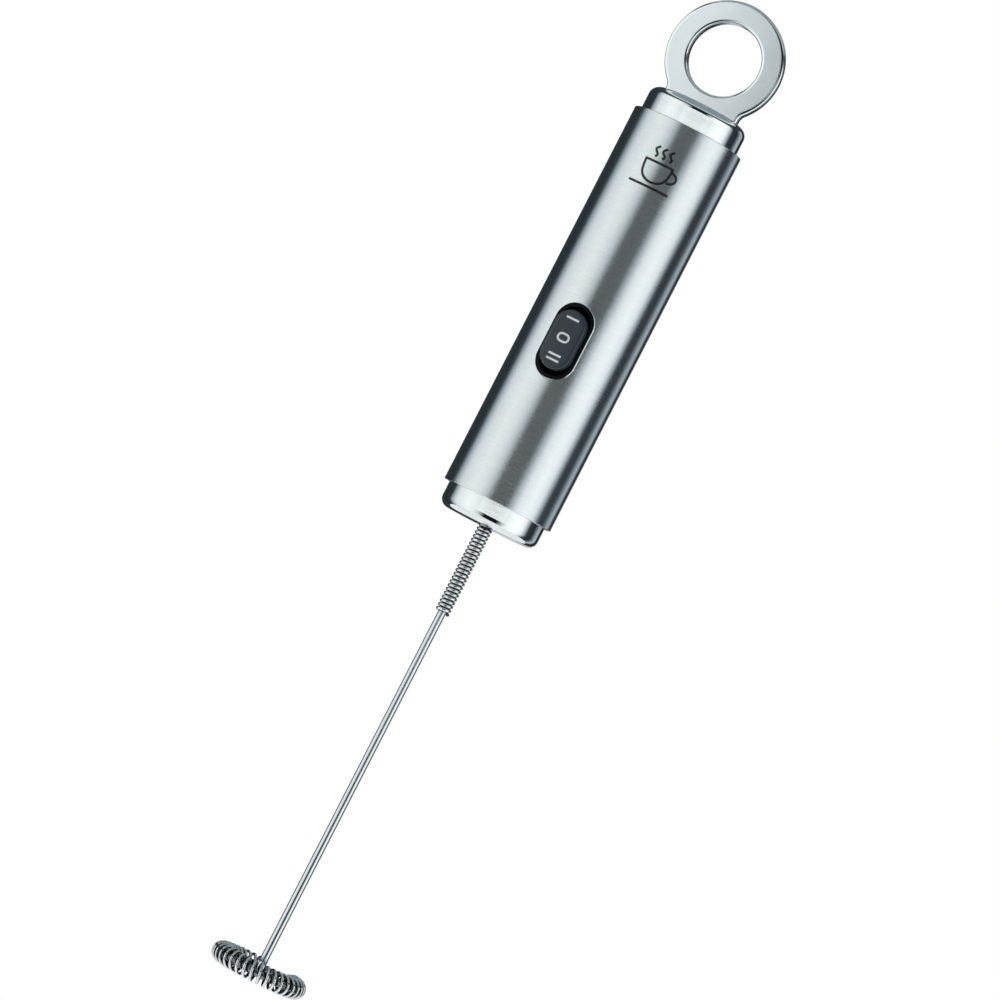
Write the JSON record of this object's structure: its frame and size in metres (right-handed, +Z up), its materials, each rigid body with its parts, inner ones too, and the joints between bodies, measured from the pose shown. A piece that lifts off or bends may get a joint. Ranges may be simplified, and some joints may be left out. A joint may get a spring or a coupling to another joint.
{
  "type": "milk frother",
  "caption": "Hand-held battery milk frother: steel tube handle, rocker switch, twist-off cap with hanging ring, sprung shaft and coil whisk.",
  "frame": {"origin": "centre of the hanging ring's hole, midway through the ring's thickness", "axes": "+Z up the shaft axis, from the whisk to the ring; the rocker switch faces -Y and the ring's hole runs along Y"},
  "size_m": [0.034, 0.0353, 0.3041],
  "materials": {
    "brushed_tube": "fine brushing round the tube",
    "polished_cap": "mirror polish",
    "ring_steel": "mirror polish with softened edges",
    "black_plastic": "fine moulded texture",
    "nylon": "natural nylon",
    "seal_rubber": "satin",
    "screw_steel": "zinc plated",
    "cell_jacket": "plain printed jacket",
    "nickel": "nickel plated",
    "contact_brass": "bright brass",
    "resistor_body": "lacquered",
    "lead_red": "PVC insulation",
    "lead_black": "PVC insulation",
    "motor_zinc": "zinc plated drawn steel",
    "magnet_ferrite": "ground ferrite",
    "carbon": "carbon",
    "core_steel": "laminated silicon steel",
    "copper_winding": "enamelled copper",
    "shaft_steel": "polished stainless wire",
    "spring_steel": "bright drawn stainless wire",
    "whisk_steel": "bright drawn stainless wire",
    "rocker_plastic": "satin moulded plastic",
    "mark_white": "white print"
  },
  "bodies": {
    "handle": {"handle_sleeve": "brushed_tube", "battery_housing": "black_plastic", "motor_cradle": "black_plastic", "nose_piece": "black_plastic", "bottom_cap": "polished_cap", "guide_bush": "nylon", "nose_screws": "screw_steel", "chassis_screws": "screw_steel", "cap_gasket": "seal_rubber", "battery_cell_left": "cell_jacket", "battery_cell_right": "cell_jacket", "negative_contact": "nickel", "positive_contact": "nickel", "switch_housing": "black_plastic", "switch_terminals": "contact_brass", "speed_resistor": "resistor_body", "lead_positive": "lead_red", "lead_negative": "lead_black", "lead_motor": "lead_red", "motor_can": "motor_zinc", "motor_magnets": "magnet_ferrite", "motor_end_cap": "nylon", "motor_bushes": "contact_brass", "motor_terminals": "contact_brass", "motor_brushes": "carbon", "motor_screws": "screw_steel"},
    "rocker": {"rocker_button": "rocker_plastic", "rocker_marks": "mark_white", "rocker_pins": "screw_steel", "rocker_plunger": "contact_brass", "plunger_spring": "nickel"},
    "blade": {"contact_blade": "contact_brass"},
    "whisk": {"motor_shaft": "shaft_steel", "armature_core": "core_steel", "armature_windings": "copper_winding", "commutator": "copper_winding", "shaft_coupling": "shaft_steel", "grub_screw": "screw_steel", "drive_spring": "spring_steel", "whisk_shaft": "shaft_steel", "whisk_coil": "whisk_steel"},
    "cap_contacts": {"contact_disc": "black_plastic", "cap_contact": "nickel", "cap_contact_spring": "nickel"},
    "cap": {"top_cap": "polished_cap", "cap_insert": "black_plastic", "hanging_ring": "ring_steel", "ring_screws": "screw_steel"}
  },
  "joints": [
    {"name": "whisk_spin", "type": "hinge", "parent": "handle", "child": "whisk", "pos_m": [0, 0, -0.13], "axis": [0, 0, 1], "continuous": true},
    {"name": "rocker_tilt", "type": "hinge", "parent": "handle", "child": "rocker", "pos_m": [0, -0.012, -0.0911], "axis": [1, 0, 0], "range_deg": [-8, 8]},
    {"name": "blade_tilt", "type": "hinge", "parent": "handle", "child": "blade", "pos_m": [0, -0.0087, -0.0911], "axis": [1, 0, 0], "range_deg": [-5, 5]},
    {"name": "cap_lift", "type": "slide", "parent": "handle", "child": "cap_contacts", "axis": [0, 0, 1], "range_m": [0, 0.005]},
    {"name": "cap_turn", "type": "hinge", "parent": "cap_contacts", "child": "cap", "pos_m": [0, 0, -0.02], "axis": [0, 0, 1], "range_deg": [0, 60]}
  ],
  "couplings": [
    {"joint": "blade_tilt", "follows": "rocker_tilt", "ratio": -0.625},
    {"joint": "cap_lift", "follows": "cap_turn", "m_per_rad": 0.0047746}
  ]
}
